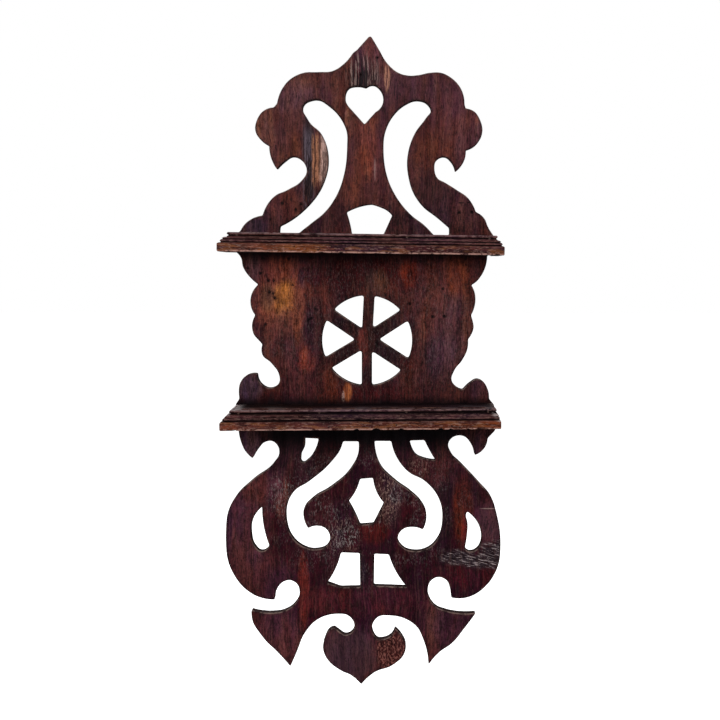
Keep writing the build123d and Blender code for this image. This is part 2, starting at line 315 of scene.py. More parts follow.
def makePiece(name, points, faces, marks, material, slot, *stoodFor):
    # marks are values kept with the points, which the materials read
    mesh = bpy.data.meshes.new(name)
    mesh.from_pydata([tuple(p) for p in points], [], faces)
    whole = bmesh.new()
    whole.from_mesh(mesh)
    bmesh.ops.recalc_face_normals(whole, faces=whole.faces)
    whole.to_mesh(mesh)
    whole.free()
    mesh.polygons.foreach_set("use_smooth", [True] * len(mesh.polygons))
    mesh.set_sharp_from_angle(angle=math.radians(carving["crease"]))
    for mark, values in marks.items():
        mesh.attributes.new(mark, "FLOAT", "POINT").data.foreach_set("value", np.array(values, np.float32))
    mesh.materials.append(material)
    mesh.validate()
    piece = bpy.data.objects.new(name, mesh)
    bpy.context.scene.collection.objects.link(piece)
    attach(piece, "root")
    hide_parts(*stoodFor)
    return piece


def plank(node, place, thick, setup, front, back, detail=None):
    # a sawn plank with worn edges: front and back say how far the surface lies below the flat
    loops = [spaced(loop, setup["gap"]) for loop in outlines(node, place) if girth(loop) > setup["leastLoop"]]
    for _ in range(setup["easing"]):
        loops = [loop + carving["easing"] * (np.roll(loop, 1, 0) + np.roll(loop, -1, 0) - 2 * loop) for loop in loops]
    spots = np.vstack(loops)
    starts = np.cumsum([0] + [len(loop) for loop in loops])
    after = np.concatenate([np.roll(np.arange(a, b), -1) for a, b in zip(starts, starts[1:])])
    before = np.concatenate([np.roll(np.arange(a, b), 1) for a, b in zip(starts, starts[1:])])
    tangent = spots[after] - spots[before]
    tangent /= np.maximum(np.hypot(*tangent.T), 1e-9)[:, None]
    inward = np.column_stack([-tangent[:, 1], tangent[:, 0]])
    right = inside(spots + inward * .3 * mm, loops)
    for a, b in zip(starts, starts[1:]):
        if right[a:b].mean() < .5:
            inward[a:b] *= -1
            right[a:b] = False
        else:
            right[a:b] = True
    run = np.concatenate([np.cumsum(np.hypot(*(loop - np.roll(loop, 1, 0)).T)) for loop in loops])

    tree = kdtree.KDTree(len(spots))
    for k, spot in enumerate(spots):
        tree.insert((*spot, 0), k)
    tree.balance()

    def toEdge(points):
        near = np.array([tree.find((*p, 0))[1] for p in points])
        distance = np.minimum(toSegment(points, spots[before[near]], spots[near]),
                              toSegment(points, spots[near], spots[after[near]]))
        return distance, near

    def skin(gap, rings, extra):
        tries = [(spots + inward * ring, ring * .8) for ring in rings]
        low, high = spots.min(0), spots.max(0)
        tries.append((honeycomb(low, high, gap), rings[-1] + gap * .4))
        if extra:
            more, keepOff = extra
            tries = [(points[~keepOff(points)], clear) for points, clear in tries]
            tries.append((more, .3 * mm))
        chosen = [spots]
        for points, clear in tries:
            points = points[inside(points, loops)]
            chosen.append(points[toEdge(points)[0] > clear])
        flat = np.vstack(chosen)
        made = geometry.delaunay_2d_cdt([Vector(p / mm) for p in flat],
                                        [(k, int(after[k])) for k in range(len(spots))], [], 0, 1e-4, True)
        points = np.array([p[:] for p in made[0]]) * mm
        triangles = np.array(made[2])
        triangles = triangles[inside(points[triangles].mean(1), loops)]
        a, b, c = (points[triangles[:, k]] for k in range(3))
        turned = (b - a)[:, 0] * (c - a)[:, 1] - (b - a)[:, 1] * (c - a)[:, 0] < 0
        triangles[turned] = triangles[turned][:, ::-1]
        rim = np.full(len(spots), -1)
        for k, origins in enumerate(made[3]):
            for origin in origins:
                if origin < len(spots):
                    rim[origin] = k
        used = np.zeros(len(points), bool)
        used[triangles.ravel()] = True
        used[rim] = True
        renamed = np.cumsum(used) - 1
        return points[used], renamed[triangles], renamed[rim]

    def shaped(points, wear, relief):
        distance, near = toEdge(points)
        radius = wear[near]
        inner = np.clip(radius - distance, 0, None)
        drop = radius - np.sqrt(np.maximum(radius ** 2 - inner ** 2, 0)) + relief(points, distance)
        return drop, distance, near

    wear = 1
    for amount, size, seed in carving["waves"]:
        wear = wear + amount * ripple(spots, size, seed)
    wear = np.clip(setup["arris"] * wear, *carving["wearRange"])
    frontPoints, frontFaces, frontRim = skin(setup["grid"], setup["rings"], detail)
    backPoints, backFaces, backRim = skin(setup["backGrid"], setup["rings"][::2], None)
    frontDrop, frontEdge, frontNear = shaped(frontPoints, wear, front)
    backDrop, backEdge, _ = shaped(backPoints, wear * carving["backWear"], back)
    sunny = np.clip(-inward[:, 1] * 1.6 - .3, 0, 1)       # where the sawn wall faces up, to carry a painted highlight

    points = [np.column_stack([frontPoints, thick - frontDrop]), np.column_stack([backPoints, backDrop])]
    faces = [*map(tuple, frontFaces.tolist()), *map(tuple, (backFaces[:, ::-1] + len(frontPoints)).tolist())]
    rub = [np.exp(-(frontEdge / setup["rubbed"]) ** 2), np.exp(-(backEdge / setup["rubbed"]) ** 2)]
    cut = [np.where(edge < .01 * mm, 1., 0) for edge in (frontEdge, backEdge)]
    litSill = [sunny[frontNear] * np.exp(-(frontEdge / setup["litSill"]) ** 2), np.zeros(len(backPoints))]

    total = len(frontPoints) + len(backPoints)
    levels = [backRim + len(frontPoints)]
    low, high = backDrop[backRim], thick - frontDrop[frontRim]
    saw = setup["saw"] * (.5 + .5 * ripple(np.column_stack([run, run * 0]), 2.2 * mm, 8))
    for share in setup["levels"]:
        depth = saw * math.sin(math.pi * share)
        level = low + (high - low) * share
        points.append(np.column_stack([spots + inward * depth[:, None], level]))
        rub.append(np.exp(-(np.minimum(level - low, high - level) / setup["rubbed"]) ** 2))
        cut.append(np.ones(len(spots)))
        litSill.append(sunny * np.exp(-((high - level) / setup["litSill"]) ** 2))
        levels.append(total + np.arange(len(spots)))
        total += len(spots)
    levels.append(frontRim)
    for lower, upper in zip(levels, levels[1:]):
        for k in range(len(spots)):
            side = (lower[k], lower[after[k]], upper[after[k]], upper[k])
            faces.append(tuple(int(v) for v in (side if right[k] else side[::-1])))
    out = np.array(place)
    points = np.vstack(points) @ out[:3, :3].T + out[:3, 3]
    marks = {"rub": np.concatenate(rub), "cut": np.concatenate(cut), "litSill": np.concatenate(litSill)}
    return points, faces, marks


def localBox(node, place):
    spots = seenFrom(place, node)
    return spots.min(0), spots.max(0)


def shelfPlace(node):
    # frame of a shelf at the board's front: x along it, y to the wall, z up from its underside
    spots = np.array([v.co[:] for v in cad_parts[node].data.vertices])
    ways = (-1, 0, 1), (1, 0, 1), (-1, 0, -1)
    topLeft, topRight, lowLeft = (Vector(spots[np.argmax(spots @ way)]) for way in ways)
    along = topRight - topLeft
    along.y = 0
    along.normalize()
    up = Vector((-along.z, 0, along.x))
    thick = (topLeft - lowLeft).dot(up)
    start = topLeft - along * (topLeft.x / along.x) - up * thick
    start.y = boardFront
    place = Matrix((along, (0, 1, 0), up)).transposed().to_4x4()
    place.translation = start
    return place, thick


def strip(lay, length, section, setup):
    # a planed section swept by lay(share, out, up), with its corners worn and nicked, always inwards
    section = np.array(section) * mm
    step = np.roll(section, -1, 0) - section
    normal = np.column_stack([step[:, 1], -step[:, 0]])
    normal = normal / np.hypot(*normal.T)[:, None]
    normal = normal + np.roll(normal, 1, 0)
    normal /= np.hypot(*normal.T)[:, None]
    heading = np.arctan2(step[:, 1], step[:, 0])
    turn = (heading - np.roll(heading, 1) + math.pi) % math.tau - math.pi
    normal *= np.sign(turn.sum())
    turn *= np.sign(turn.sum())
    corner = np.clip(turn * 1.2, 0, 1)
    # nearness to the grooves, where painted shade goes
    toGroove = np.min(np.abs(section[:, 1:] / mm - setup["grooves"]), 1)
    hollow = np.exp(-(toGroove / setup["grooveShadeWidth"]) ** 2) * (section[:, 0] > mm)
    count = round(length / setup["station"]) + 1
    points, rub, grooveShade, level = [], [], [], []
    for k, share in enumerate(np.linspace(0, 1, count)):
        run = share * length
        for j, (out, up) in enumerate(section):
            # slow waves along the moulding, and short ones over them
            loose = noise.noise(Vector((run / (7 * mm), out / (3 * mm) + setup["seed"], up / (3 * mm))))
            tight = noise.noise(Vector((run / (2.2 * mm), out / mm + setup["seed"], up / mm)))
            worn = setup["wear"] * (1 + loose) + corner[j] * setup["blunt"] * max(0, loose + .6 * tight)
            for at, height, size in setup["nicks"]:
                near = math.hypot(run - at * mm, (up - height * mm) * .8) / (size * mm)
                worn += setup["bite"] * size * max(0, 1 - near) * (.6 + corner[j])
            worn = min(worn, setup["deepest"]) * (up > .5 * mm or out > 1 * mm)
            points.append(lay(share, out - normal[j, 0] * worn, up - normal[j, 1] * worn))
            rub.append(min(1, corner[j] * 1.5))
            grooveShade.append(hollow[j])
            level.append(up / section[:, 1].max())
    total = len(section)
    faces = [(k * total + j, k * total + (j + 1) % total, (k + 1) * total + (j + 1) % total, (k + 1) * total + j)
             for k in range(count - 1) for j in range(total)]
    faces += [tuple(range(total)), tuple(range(total * (count - 1), total * count))]
    return np.array(points), faces, {"rub": rub, "grooveShade": grooveShade, "level": level}


# timber

lookAll = dict(
    speck=paint(150, 118, 108),           # pale fleck, warm
    ash=paint(146, 134, 132),             # pale fleck, grey
    pore=paint(16, 9, 11),
    sheen=.025,                           # low, as the waxed surface is dull
    wax=.04,                              # most that is left of it, along the hard bands of the grain
    bump=.6,
)


class Timber(Sheet):
    # a stained wood, with the grain along one axis, worked out in millimetres
    def __init__(self, name, grain):
        super().__init__(name)
        self.grain = grain
        seen = self.node("TexCoord", out="Object")
        self.place = self.move("ADD", self.scaled(seen, 1000), (0, 0, -tip / mm))
        self.parts = [self.node("SeparateXYZ", None, self.place, out=k) for k in range(3)]
        wander = self.node("TexNoise", None, self.place, Scale=.02, Detail=2, out=1)
        self.lie = self.move("ADD", self.place, self.scaled(self.move("SUBTRACT", wander, (.5, .5, .5)), 9))
        self.fray = (self.node("TexNoise", None, self.place, Scale=.11, Detail=5, Roughness=.65) - .5) * 1.5
        self.bands = self.drawn(.13, 24, 3)
        self.fibres = self.drawn(.62, 14, 4, .65)
        self.pores = self.drawn(1.7, 9, 2)
        self.blots = self.cloud(self.place, .16, 6, .7)
        self.grit = self.cloud(self.place, .75, 4, .75)
        self.hue = self.drawn(.05, 3.5, 3)
        self.streaks = self.drawn(.15, 7, 4, .6)

    def drawn(self, scale, length, detail=3, rough=.55):
        # a cloud drawn out along the grain
        stretch = [1, 1, 1]
        stretch[self.grain] = 1 / length
        return self.cloud(self.move("MULTIPLY", self.lie, tuple(stretch)), scale, detail, rough)

    def patch(self, x, h, reachX, reachH, soft=.75):
        # 1 within a frayed oval, 0 outside it
        off = self.move("MULTIPLY", self.move("SUBTRACT", self.place, (x, 0, h)), (1 / reachX, 0, 1 / reachH))
        return self.ramp(self.move("LENGTH", off, out=1) + self.fray * .6, 1 + soft / 2, 1 - soft / 2)

    def patches(self, tone, spots):
        for x, h, reachX, reachH, colour, share in spots:
            tone = self.mix(self.patch(x, h, reachX, reachH) * share, tone, paint(*colour))
        return tone

    def mark(self, name):
        return self.node("Attribute", {"attribute_name": name}, out="Fac")

    def aged(self, colour, deep, contrast=1.0):
        # the stain's own colour drift and the figure of the wood under it
        drift = self.mix(self.hue, (.82, .8, 1.14, 1), (1.24, 1.04, .7, 1))
        streak = self.mix(self.streaks, (.74, .62, .78, 1), (1.16, 1.16, 1.08, 1))
        for shade in (drift, streak, deep):
            colour = self.move("MULTIPLY", colour, shade)
        figure = (self.fibres * .62 + self.bands * .33 + self.blots * .58 + self.grit * .45 - 1.03
                  - self.ramp(self.pores, .6, .85) * .3)
        return self.scaled(colour, (figure * contrast + 1).most(.12))

    def finish(self, colour, rough, height):
        bump = self.node("Bump", None, Strength=lookAll["bump"], Distance=.6 * mm, Height=height)
        coat = self.bands * lookAll["wax"]
        body = self.node("BsdfPrincipled", None, Base_Color=colour, Roughness=rough, Normal=bump,
                         Specular_IOR_Level=lookAll["sheen"], Coat_Weight=coat, Coat_Roughness=.5)
        self.node("OutputMaterial", None, body)
        return self.material


# stain of the board, with painted reflection in the greyish patches on its ear lobes: across, height above the tip,
# reach both ways, colour, how strongly
boardStainAndSheen = [
    # crest
    (0, 530, 135, 98, (80, 53, 50), 1),
    (2, 596, 17, 24, (94, 62, 66), .8), (-75, 556, 30, 18, (86, 63, 66), .7), (-98, 521, 14, 20, (92, 74, 70), .9),
    (104, 522, 9, 17, (82, 66, 76), .95), (84, 536, 26, 20, (94, 60, 57), .7), (48, 562, 30, 10, (76, 51, 52), .7),
    (-15.5, 532, 2.2, 9, (140, 116, 100), .8), (-10, 527, 5, 9, (58, 50, 52), .8),
    (-98, 536, 14, 14, (96, 68, 62), .6),
    (0, 490, 26, 52, (84, 50, 42), .8), (4, 508, 9, 28, (122, 74, 52), .8), (96, 500, 20, 30, (92, 60, 50), .5),
    (10, 486, 2, 11, (120, 90, 80), .5), (-33, 520, 9, 14, (92, 72, 64), .5),
    (-73, 505, 28, 26, (92, 60, 48), .7), (60, 500, 18, 34, (84, 50, 42), .7), (92, 500, 22, 26, (88, 54, 50), .5),
    (-51, 500, 5, 40, (43, 37, 43), .9), (-52, 464, 10, 14, (62, 50, 59), .8),
    (62, 452, 20, 36, (54, 35, 42), .9), (93, 446, 12, 16, (88, 60, 52), .8), (-70, 456, 22, 14, (82, 48, 45), .7),
    (-104, 433, 13, 9, (66, 56, 60), .8), (-36, 440, 22, 20, (56, 34, 40), .8), (40, 436, 24, 16, (54, 33, 40), .8),
    # panel
    (0, 344, 125, 72, (72, 37, 36), 1),
    (-76, 364, 25, 29, (132, 80, 50), .9), (-73, 366, 10, 19, (178, 124, 50), .9),
    (-86, 394, 26, 12, (112, 62, 44), .8),
    (-89, 368, 6, 13, (110, 88, 56), .6), (-72, 346, 13, 12, (136, 92, 66), .6), (-58, 388, 3, 8, (52, 24, 40), .7),
    (-45, 388, 7, 9, (50, 22, 36), .7),
    (-105, 396, 10, 14, (84, 62, 55), .8), (-4, 392, 42, 17, (46, 6, 12), .95), (42, 390, 8, 14, (116, 50, 24), .8),
    (82, 388, 12, 22, (112, 64, 44), .75), (60, 388, 12, 22, (70, 36, 32), .7), (62, 352, 26, 30, (92, 60, 50), .7),
    (90, 340, 15, 34, (84, 58, 54), .8), (72, 314, 16, 20, (82, 62, 62), .7), (-76, 328, 24, 24, (84, 54, 50), .7),
    (-53, 310, 8, 13, (140, 72, 46), .7), (-62, 352, 5, 26, (128, 78, 48), .6), (-46, 340, 9, 30, (54, 34, 46), .8),
    (20, 281, 44, 9, (72, 22, 22), .9), (28, 302, 20, 10, (70, 26, 28), .6), (-106, 284, 11, 14, (76, 64, 72), .95),
    (-78, 274, 22, 7, (50, 20, 28), .8), (109, 284, 10, 12, (72, 48, 54), .9),
    (-45, 284, 26, 18, (84, 44, 34), .6), (60, 290, 34, 20, (70, 44, 42), .6), (12, 382, 10, 12, (92, 72, 62), .5),
    (2, 330, 42, 42, (37, 18, 22), .95), (-1, 322, 5, 22, (96, 50, 48), .6),
    # apron
    (0, 118, 140, 130, (42, 8, 24), 1),
    (-112, 145, 22, 56, (74, 46, 55), .9), (-90, 96, 24, 28, (70, 40, 45), .7), (-98, 192, 22, 16, (82, 48, 50), .8),
    (-78, 184, 6, 22, (122, 84, 76), .5), (-57, 92, 5, 34, (106, 46, 36), .8), (-30, 152, 30, 32, (54, 28, 40), .6),
    (24, 180, 11, 24, (56, 42, 48), .7), (9, 147, 14, 10, (72, 22, 21), .8), (93, 170, 9, 32, (92, 44, 28), .8),
    (98, 150, 6, 16, (98, 26, 32), .7), (48, 168, 12, 14, (54, 12, 20), .7),
    (117, 156, 13, 20, (84, 48, 56), .8), (75, 166, 8, 52, (34, 15, 28), .9), (100, 107, 26, 13, (64, 18, 28), .8),
    (0, 82, 64, 15, (68, 29, 36), .8), (-82, 42, 26, 32, (82, 49, 50), .85), (80, 46, 28, 30, (72, 41, 48), .8),
    (66, 62, 9, 22, (92, 64, 62), .5), (-12, 30, 34, 26, (66, 42, 50), .9), (26, 34, 16, 22, (46, 15, 18), .95),
    (-108, 228, 12, 18, (84, 66, 76), .9), (112, 230, 10, 16, (76, 50, 60), .9), (-58, 214, 34, 18, (46, 24, 32), .7),
    (56, 208, 30, 18, (72, 40, 42), .6), (-2, 110, 4, 14, (40, 28, 36), .8),
]

wormHoles = [                             # across, height above the tip, radius
    (-107.6, 395.7, .7), (-95.6, 391, .8), (-88.2, 383.8, .7), (-83.6, 383.8, .7), (-82.6, 368, 1),
    (-87.3, 373.6, .7), (-91.2, 344, .7), (-51.5, 347.8, .8), (-48.3, 349.6, .7), (-45, 358, .7),
    (42.5, 363, .7), (63.6, 351, .9), (74.3, 351.5, .9), (72.8, 376.4, .6), (87.3, 446.3, .8),
    (98.8, 446.8, .8), (-75.3, 455.3, .8), (-62.8, 449.6, .8), (-58.2, 454.4, .7), (-86.2, 440.2, .5),
    (-84, 372, .6), (-66, 380, .6), (20, 371, .6), (-3, 571, .7), (12, 586, .6), (-70, 404, .6),
]

boardFlecks = [                           # across, height, reach both ways, softness, how strongly
    (22, 182, 11, 24, .9, .8), (-20, 144, 15, 17, .9, .5), (52, 210, 10, 10, .9, .45), (-78, 184, 12, 18, .8, .3),
    (0, 344, 110, 70, .75, .08),
]


def bareSapwood(wood, tone, face):
    # sapwood left bare beside the left crescent, with a black band along it
    x, _, h = wood.parts
    lines = wood.drawn(.5, 40, 3)
    ragged = h + wood.fray * 10 + lines * 14
    band = wood.ramp(x + wood.fray * 2, -58, -53) * wood.ramp(x, -44, -48)
    band = band * wood.ramp(ragged, 452, 470) * wood.ramp(ragged, 545, 525)
    black = wood.mix(wood.ramp(lines, .45, .75), paint(19, 15, 19), paint(84, 73, 82))
    tone = wood.mix(band * face * .85, tone, black)
    sap = wood.ramp(x + wood.fray * 1.2, -48.6, -46.8) * wood.ramp(x, -25, -30)
    sap = sap * wood.ramp(ragged, 474, 486) * wood.ramp(ragged, 528, 518)
    pale = wood.mix(wood.ramp(x + wood.fray * 3, -43, -37), paint(150, 99, 74), paint(180, 146, 136))
    pale = wood.mix(wood.ramp(lines, .54, .74) * .85, pale, paint(62, 38, 32))
    tone = wood.mix(sap * face, tone, wood.scaled(pale, .7 + wood.grit * .3 + wood.fibres * .15))
    # black and pale streaks over the heart
    streaks = wood.drawn(.55, 34, 2)
    over = wood.patch(-1, 571, 14, 18, .8) * face
    burnt = over * (wood.ramp(h + lines * 10, 590, 562) * .55 + wood.ramp(streaks, .4, .6) * .7)
    tone = wood.mix(burnt.kept(), tone, paint(20, 16, 20))
    tone = wood.mix(over * wood.ramp(streaks, .34, .2) * .55, tone, paint(138, 118, 112))
    right = wood.patch(21, 568, 2.6, 12, .5) * wood.ramp(streaks, .2, .5) * face
    return wood.mix(right * .9, tone, paint(150, 104, 86))


def gnarledKnot(wood, tone, face):
    # on the right of the apron, its lines running down to the right
    x, _, h = wood.parts
    flow = wood.node("CombineXYZ", None, x * .055, 0, (h + x * .26) * .4)
    swirl = wood.node("TexNoise", None, flow, Scale=1, Detail=4, Roughness=.6, Distortion=2.4)
    knot = wood.patch(90, 124, 15, 6.5, .9)
    for spot in ((123, 127, 13, 12), (107, 120, 14, 6)):
        knot = knot.most(wood.patch(*spot, .9))
    knot = (knot * (.7 + wood.ramp(swirl, .36, .56) * .5)).kept() * face
    lines = wood.mix(wood.ramp(swirl, .42, .54), paint(12, 7, 11), paint(52, 40, 46))
    lines = wood.mix(wood.ramp(swirl, .56, .61), lines, paint(140, 126, 126))
    return wood.mix(knot, tone, lines), knot * swirl


def paleFlecks(wood, tone, face):
    # crackled wax, worn stain, scratches and open pores
    clumps = wood.ramp(wood.cloud(wood.place, .055, 3), .35, .7)
    crackled = wood.patch(0, 168, 84, 60, .9) * clumps * .28
    for *spot, share in boardFlecks:
        crackled = crackled + wood.patch(*spot) * share
    crackled = crackled * face + .03
    light = wood.ramp(wood.drawn(1.2, 3.2, 4, .75), .6, .88)
    tone = wood.mix((light * crackled).kept(), tone, wood.mix(clumps, lookAll["speck"], lookAll["ash"]))
    worn = wood.patch(26, 33, 14, 20, .4) * wood.ramp(wood.drawn(.75, 2, 4, .7), .45, .8) * face
    tone = wood.mix(worn * .8, tone, paint(134, 82, 74))
    scored = wood.drawn(.8, 45, 2)        # long fine lines down the grain
    tone = wood.mix(wood.ramp(scored, .78, .95) * .08, tone, paint(128, 92, 78))
    tone = wood.mix(wood.ramp(scored, .24, .08) * .35, tone, lookAll["pore"])
    tone = wood.mix(wood.ramp(wood.drawn(.9, 5, 3, .7), .34, .14) * .6, tone, lookAll["pore"])
    scratch = wood.patch(118, 171, 8, .5, .6).most(wood.patch(10, 486, .45, 9, .6))
    tone = wood.mix(scratch * face * .5, tone, paint(150, 124, 118))
    slits = wood.patch(89.1, 455.2, 2.6, .6, .4).most(wood.patch(95.9, 455.6, 1.7, .6, .4))
    return wood.mix(slits * face * .9, tone, lookAll["pore"])


def boardWood():
    wood = Timber("boardWood", 2)
    x, y, h = wood.parts
    face = wood.ramp(y, -4.5, -7)         # the front only, as the back was hardly stained
    tone = wood.patches(paint(66, 38, 39), boardStainAndSheen)
    tone = wood.mix(face, wood.mix(wood.bands, paint(58, 38, 33), paint(92, 66, 54)), tone)
    tone = wood.aged(tone, (.9, .7, .75), 1 - wood.ramp(h, 440, 480) * .35)
    # smoother where hands and wax have filled the grain
    calm = (wood.patch(-14, 28, 24, 26, .4) * .6).most(wood.patch(118, 158, 10, 18, .5) * .5) * face
    tone = wood.mix(calm, tone, wood.mix(wood.bands, paint(56, 34, 40), paint(68, 44, 50)))
    tone = bareSapwood(wood, tone, face)
    tone, ridges = gnarledKnot(wood, tone, face)
    # bright sliver over the lower shelf
    sliver = wood.patch(-15, 281, 3.6, 9, .8) * face
    tone = wood.mix(sliver, tone, wood.mix(wood.fibres, paint(116, 54, 32), paint(164, 92, 52)))
    chip = wood.patch(-19.3, 276, 1.2, 5, .9) * wood.ramp(wood.grit + wood.fibres, .6, 1.2) * face
    tone = wood.mix(chip, tone, paint(160, 126, 116))
    tone = paleFlecks(wood, tone, face)
    # painted shadow under both shelves and painted shade in the corner over the lower one, with the dirt gathered
    # where they meet the board
    under = wood.ramp(h + wood.fray * 5, 396, 410) * wood.ramp(h, 427, 424)
    low = wood.ramp(h + wood.fray * 16, 214, 238) * wood.ramp(h, 262, 258)
    above = wood.ramp(h + wood.fray * 4, 279, 269) * wood.ramp(h, 255, 262) * (1 - sliver * .8)
    ears = 1 - wood.ramp((x * x) ** .5, 82, 98) * .6
    shadeAndDirt = (under * .85).most(low * ears * .97).most(above * .92) * face
    tone = wood.mix(shadeAndDirt, tone, paint(8, 5, 7))
    # edges: darkened by hands, rubbed pale in places, sawn walls rough, with painted shade darkening their end grain
    rub, cut = wood.mark("rub"), wood.mark("cut")
    tone = wood.mix(rub * .72, tone, paint(22, 11, 14))
    tone = wood.mix(rub * wood.ramp(wood.blots + wood.grit * .5, .95, 1.2) * .45, tone, paint(128, 92, 80))
    sawnAndShaded = wood.mix(wood.fibres, paint(16, 8, 9), paint(40, 21, 20))
    tone = wood.mix((cut * .92).kept(), tone, sawnAndShaded)
    # painted highlight along the front lip of sawn walls that face up
    litSill = wood.mark("litSill") * face * wood.ramp(wood.blots, .1, .6)
    tone = wood.mix(litSill * .7, tone, paint(146, 122, 114))
    # painted shade inside the worm holes
    tone = wood.mix(wood.mark("holeShade") * .95, tone, paint(6, 3, 4))
    rough = (.52 + wood.grit * .16 - wood.bands * .1 + shadeAndDirt * .3 + cut * .4).kept()
    height = wood.fibres * .35 + wood.grit * .3 - wood.ramp(wood.pores, .55, .8) * .5
    return wood.finish(tone, rough, height + ridges * 1.6 + cut * wood.grit * .4)


def shelfWood():
    wood = Timber("shelfWood", 0)
    y = wood.parts[1]
    tone = wood.mix(wood.bands, paint(38, 24, 25), paint(62, 40, 40))
    tone = wood.aged(tone, (.8, .66, .7))
    # dust along the front, darker towards the board
    front = wood.ramp(y + wood.fray * 6, -30, -50)
    tone = wood.mix(front * wood.ramp(wood.drawn(.5, 6), .4, .8) * .6, tone, paint(112, 94, 97))
    tone = wood.mix(wood.ramp(y + wood.fray * 8, -44, -20) * .85, tone, paint(9, 6, 7))
    # pale patch at the lower shelf's left end: worn finish with a painted highlight on it
    leftWearAndHighlight = wood.patch(-117, 270, 6, 12, .8) * wood.ramp(wood.fibres, .4, .8)
    tone = wood.mix(leftWearAndHighlight * .7, tone, paint(168, 156, 156))
    rub, cut = wood.mark("rub"), wood.mark("cut")
    tone = wood.mix(rub * wood.ramp(wood.blots, .45, .7) * .5, tone, paint(120, 88, 78))
    tone = wood.mix((cut * .6).kept(), tone, wood.mix(wood.fibres, paint(30, 16, 16), paint(62, 36, 31)))
    rough = (.55 + wood.grit * .16 + front * .1).kept()
    return wood.finish(tone, rough, wood.fibres * .4 + wood.grit * .3 - wood.ramp(wood.pores, .55, .8) * .5)


mouldingStain = [                         # across, height above the tip, reach both ways, colour, how strongly
    (-95, 412, 40, 14, (110, 70, 50), .9), (-48, 412, 20, 14, (122, 78, 44), .8),
    (20, 412, 50, 14, (68, 36, 46), .85), (100, 412, 36, 14, (74, 42, 44), .8),
    (-70, 255, 64, 12, (98, 58, 46), .8), (60, 255, 50, 12, (96, 54, 34), .8),
    (120, 255, 18, 12, (128, 78, 38), .9), (-122, 256, 10, 12, (122, 72, 46), .8),
]

wornDots = [                              # dark dots in the mouldings: across, height
    (-99.7, 411.4), (-83, 409.8), (-39.1, 411.4), (-27.2, 414), (-16.3, 412.2), (27.4, 416.2), (37, 413.9),
    (-60, 414.5), (6, 411), (64, 413.4),
    (-104, 256), (-30, 255), (30, 257), (50, 254.6), (79, 256.4), (86, 255),
]


def mouldingWood(name, grain):
    wood = Timber(name, grain)
    x, _, h = wood.parts
    rub, grooveShade, level = wood.mark("rub"), wood.mark("grooveShade"), wood.mark("level")
    tone = wood.patches(paint(80, 50, 46), mouldingStain)
    upper = wood.ramp(level + wood.fray * .06, .42, .5)
    tone = wood.mix(upper * .75, tone, wood.mix(wood.bands, paint(64, 43, 50), paint(108, 76, 80)))
    lower = wood.ramp(h, 300, 290) * wood.ramp(x, -112, -88)
    tone = wood.mix(upper * lower * .6, tone, wood.mix(wood.bands, paint(26, 18, 24), paint(96, 72, 80)))
    lines = wood.drawn(.8, 26, 2)
    tone = wood.aged(tone, (.54, .42, .45), .9)
    tone = wood.mix(wood.ramp(wood.drawn(.32, 7), .55, .85) * (1 - upper) * .45, tone, paint(118, 72, 42))
    tone = wood.mix(wood.ramp(lines, .56, .8) * .6, tone, paint(20, 10, 11))
    tone = wood.mix(wood.ramp(wood.drawn(1.1, 5, 3, .7), .7, .9) * .35, tone, lookAll["speck"])
    tone = wood.mix(rub * wood.ramp(wood.blots * .6 + wood.fibres * .5, .42, .8) * .4, tone, paint(118, 84, 78))
    dots = wood.ramp(wood.node("TexVoronoi", None, wood.place, Scale=.11, Randomness=1), .09, .05)
    for dotX, dotH in wornDots:
        dots = dots.most(wood.patch(dotX, dotH, .85, .75, .5))
    tone = wood.mix(dots * .85, tone, paint(20, 11, 12))
    # painted shade along the moulding's grooves
    tone = wood.mix((grooveShade * 1.3).kept() * .95, tone, paint(6, 2, 3))
    # pale end grain at the lower moulding's ends, with a painted highlight over it
    end = wood.patch(124, 266, 8, 6, .5).most(wood.patch(-121, 270, 7, 4, .5))
    tone = wood.mix(end * wood.ramp(wood.drawn(.5, 5), .4, .7) * .6, tone, paint(176, 164, 162))
    # painted highlight along the lower arris of the fillet
    foot = wood.ramp(level, .11, .06) * wood.ramp(level, .012, .03) * wood.ramp(wood.blots, .15, .6)
    tone = wood.mix(foot * .75, tone, paint(172, 132, 120))
    # painted highlight along the bead at the top
    crownHighlight = wood.ramp(level, .9, .95) * wood.ramp(wood.blots, .1, .6)
    tone = wood.mix(crownHighlight * .4, tone, paint(122, 98, 100))
    # painted shade on the moulding's underside
    tone = wood.mix(wood.ramp(level, .012, .004) * .8, tone, paint(14, 7, 8))
    rough = (.5 + wood.grit * .14 - rub * .08 + grooveShade * .2).kept()
    height = wood.fibres * .5 + wood.grit * .25 - dots * .8
    return wood.finish(tone, rough, height)


def oldIron():
    iron = Sheet("oldIron")
    place = iron.scaled(iron.node("TexCoord", out="Object"), 1000)
    rust = iron.cloud(place, .9, 5, .7)
    grit = iron.cloud(place, 2.5, 4, .7)
    tone = iron.mix(iron.ramp(rust, .35, .7), paint(46, 41, 40), paint(72, 40, 28))
    tone = iron.mix(iron.ramp(grit, .7, .9) * .5, tone, paint(120, 108, 100))
    bump = iron.node("Bump", None, Strength=lookAll["bump"], Distance=.2 * mm, Height=grit)
    body = iron.node("BsdfPrincipled", None, Base_Color=tone, Metallic=1 - rust * .7, Roughness=.45 + rust * .3,
                     Normal=bump, Specular_IOR_Level=.3)
    iron.node("OutputMaterial", None, body)
    return iron.material


boardTimber = boardWood()
shelfTimber = shelfWood()
frontTimber = mouldingWood("mouldingWood", 0)
returnTimber = mouldingWood("returnWood", 1)
iron = oldIron()
print("timber and iron mixed")

# backboard

